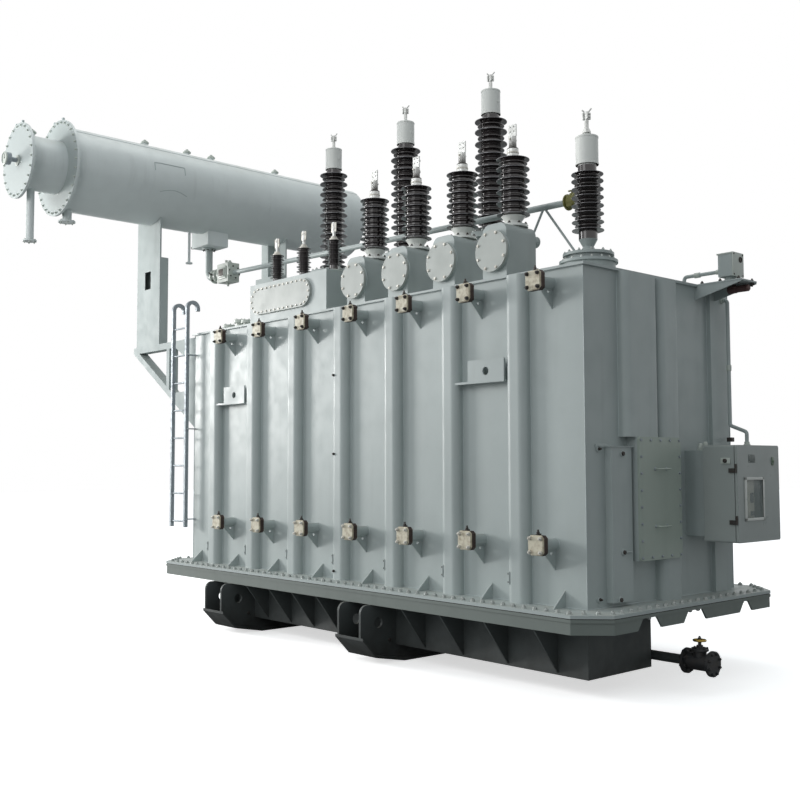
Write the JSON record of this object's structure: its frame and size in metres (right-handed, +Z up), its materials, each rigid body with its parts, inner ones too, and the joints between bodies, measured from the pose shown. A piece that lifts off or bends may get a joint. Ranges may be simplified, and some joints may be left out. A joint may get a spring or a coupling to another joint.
{
  "type": "power transformer",
  "caption": "Oil-filled power transformer with high- and low-voltage bushings, conservator, control cabinet and capped radiator stubs.",
  "frame": {"origin": "on the ground, in the middle of the sole of the haulage skid nearer the control cabinet", "axes": "+X along the tank toward the control cabinet, -Y the front with the low-voltage turrets, +Z up"},
  "size_m": [7.8668, 5.0768, 5.802],
  "materials": {
    "tank_paint": "light blue-grey gloss paint, weathered",
    "cabinet_paint": "light grey satin powder paint",
    "conservator_paint": "grey paint, dull and dusty",
    "dark_glaze": "very dark brown glaze",
    "white_caps": "near-white paint over aluminium",
    "cap_metal": "cast, satin",
    "cast_iron": "black paint, dull",
    "valve_iron": "cream and brown primer, worn",
    "brass": "dull brass",
    "relay_alloy": "cast, painted light grey-green",
    "zinc_steel": "galvanised, dull",
    "gauge_black": "black satin",
    "gasket_rubber": "matt black",
    "window_glass": "clear, dusty"
  },
  "bodies": {
    "tank": {"access_frame": "tank_paint", "access_panel": "tank_paint", "cabinet_bracket": "cabinet_paint", "cabinet_housing": "cabinet_paint", "conservator": "conservator_paint", "conservator_supports": "tank_paint", "cover": "tank_paint", "drain_valve": "cast_iron", "end_walls": "tank_paint", "expansion_caps": "white_caps", "flange_gasket": "gasket_rubber", "flange_gussets": "tank_paint", "flange_skirt": "tank_paint", "front_wall": "tank_paint", "gas_relay": "relay_alloy", "haulage_skids": "tank_paint", "header_pipe": "tank_paint", "hv_insulators": "dark_glaze", "hv_turrets": "tank_paint", "inspection_box": "tank_paint", "inspection_cover": "tank_paint", "junction_box": "tank_paint", "ladder": "zinc_steel", "level_gauge": "gauge_black", "lifting_brackets": "tank_paint", "lower_flange": "tank_paint", "lower_tank": "tank_paint", "lv_fittings": "cap_metal", "lv_insulators": "dark_glaze", "lv_turret_covers": "tank_paint", "lv_turrets": "tank_paint", "neutral_insulator": "dark_glaze", "neutral_turret": "tank_paint", "radiator_stubs": "tank_paint", "radiator_valves": "valve_iron", "rear_wall": "tank_paint", "side_box": "tank_paint", "skid_soles": "tank_paint", "small_bushings": "dark_glaze", "tapchanger_conservator": "conservator_paint", "upper_flange": "tank_paint", "wall_stiffeners": "tank_paint"},
    "door": {"cabinet_door": "cabinet_paint", "cabinet_window": "window_glass"},
    "handwheel": {"drain_handwheel": "brass"}
  },
  "joints": [
    {"name": "cabinet_hinge", "type": "hinge", "parent": "tank", "child": "door", "pos_m": [2.775, 0.252, 1.495], "axis": [0, 0, -1], "range_deg": [0, 110]},
    {"name": "drain_spindle", "type": "hinge", "parent": "tank", "child": "handwheel", "pos_m": [2.689, -0.175, 0.398], "axis": [0, 0, 1], "continuous": true}
  ]
}
